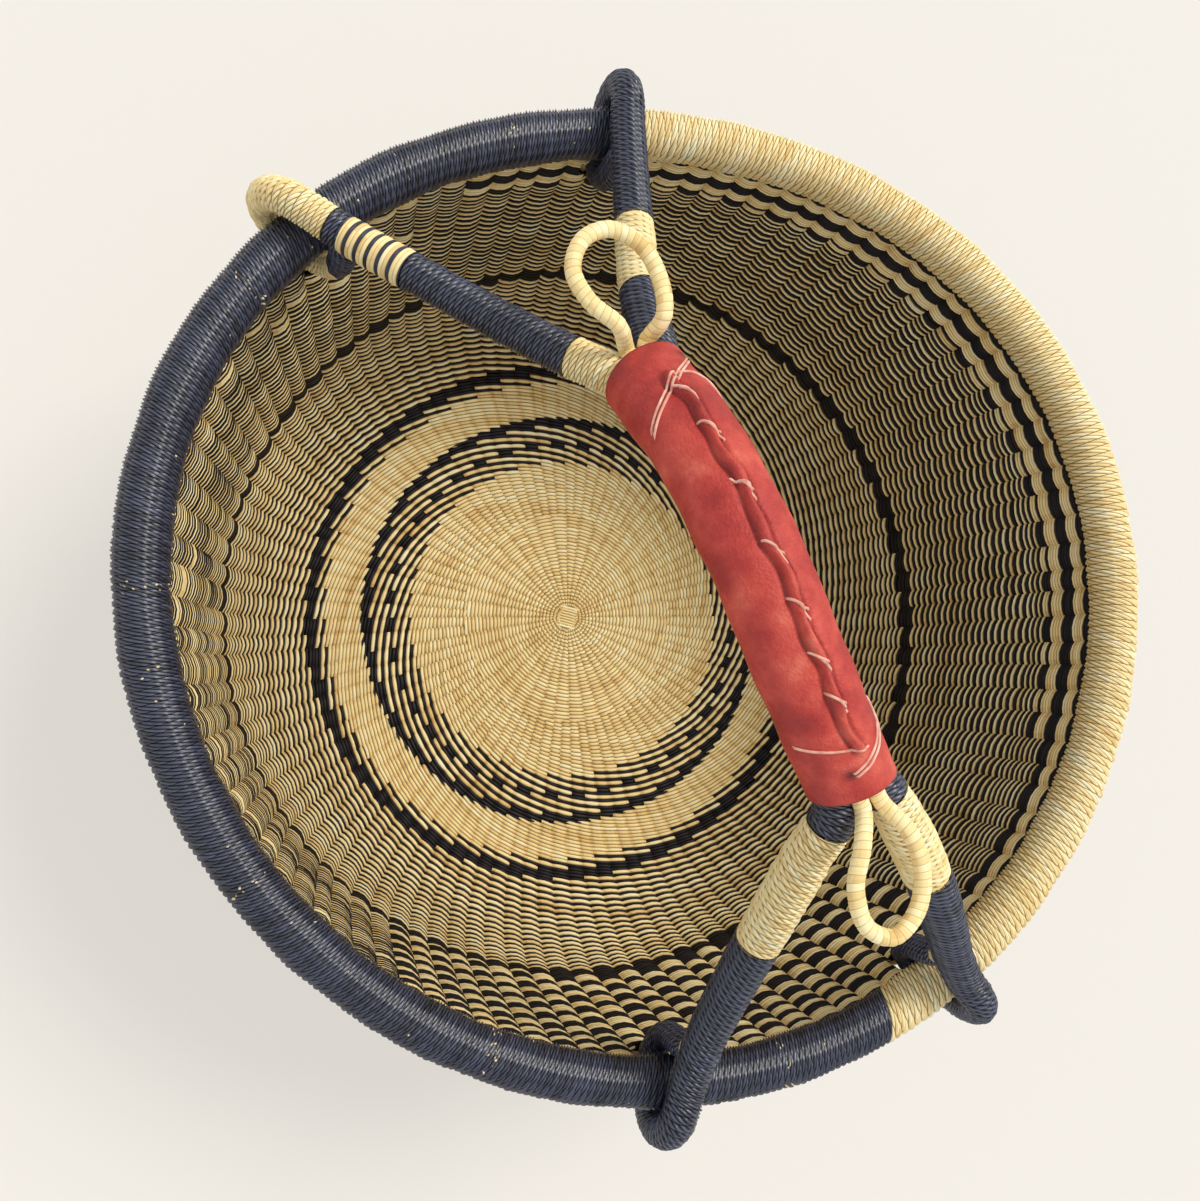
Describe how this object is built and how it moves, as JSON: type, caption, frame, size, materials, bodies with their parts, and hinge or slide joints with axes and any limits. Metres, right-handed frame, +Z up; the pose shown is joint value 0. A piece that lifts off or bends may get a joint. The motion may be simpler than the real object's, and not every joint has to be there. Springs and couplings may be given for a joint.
{
  "type": "straw basket",
  "caption": "Round twined straw basket with a cord-bound rim, an arched handle looped round the rim at both sides and a laced leather grip.",
  "frame": {"origin": "middle of the flat base, on the surface that the basket stands on", "axes": "+Z up out of the basket's mouth, X and Y level, +X to the right and +Y away in the picture"},
  "size_m": [0.4312, 0.4354, 0.3241],
  "materials": {
    "natural_straw": "dry natural grass straw, twisted, slightly glossy",
    "striped_straw": "natural and black straw in alternate rows",
    "black_straw": "straw dyed black",
    "navy_straw": "straw dyed dark blue",
    "red_leather": "smooth dyed goat leather, matt",
    "thong_leather": "pale thin leather thong"
  },
  "bodies": {
    "basket": {"outer_weave": "natural_straw", "stakes": "natural_straw", "weave_centre_natural": "natural_straw", "weave_band_dashed": "striped_straw", "weave_band_natural": "natural_straw", "weave_ring_black": "black_straw", "weave_corner_striped": "striped_straw", "weave_wall_line": "black_straw", "weave_wall_striped": "striped_straw", "weave_rim_bands": "natural_straw", "rim_core": "natural_straw", "rim_wrap_navy": "navy_straw", "rim_wrap_natural": "natural_straw"},
    "handle": {"handle_core_west": "natural_straw", "handle_core_east": "natural_straw", "wrap_a1_1_natural": "natural_straw", "wrap_a1_2_navy": "navy_straw", "wrap_a1_3_striped": "striped_straw", "wrap_a1_4_navy": "navy_straw", "wrap_a1_5_natural": "natural_straw", "wrap_a2_1_navy": "navy_straw", "wrap_a2_2_natural": "natural_straw", "wrap_a2_3_navy": "navy_straw", "wrap_b1_1_navy": "navy_straw", "wrap_b1_2_natural": "natural_straw", "wrap_b1_3_navy": "navy_straw", "wrap_b2_1_navy": "navy_straw", "wrap_b2_2_natural": "natural_straw", "wrap_b2_3_navy": "navy_straw", "grip_leather": "red_leather", "grip_binding": "natural_straw", "seam_lacing": "thong_leather", "end_tie_a": "thong_leather", "end_tie_b": "thong_leather", "small_loop_a": "natural_straw", "small_loop_b": "natural_straw"}
  },
  "joints": [
    {"name": "handle_rock", "type": "hinge", "parent": "basket", "child": "handle", "pos_m": [-0.01809, -0.00879, 0.19], "axis": [0.3702, -0.929, 0], "range_deg": [-2, 2]}
  ]
}
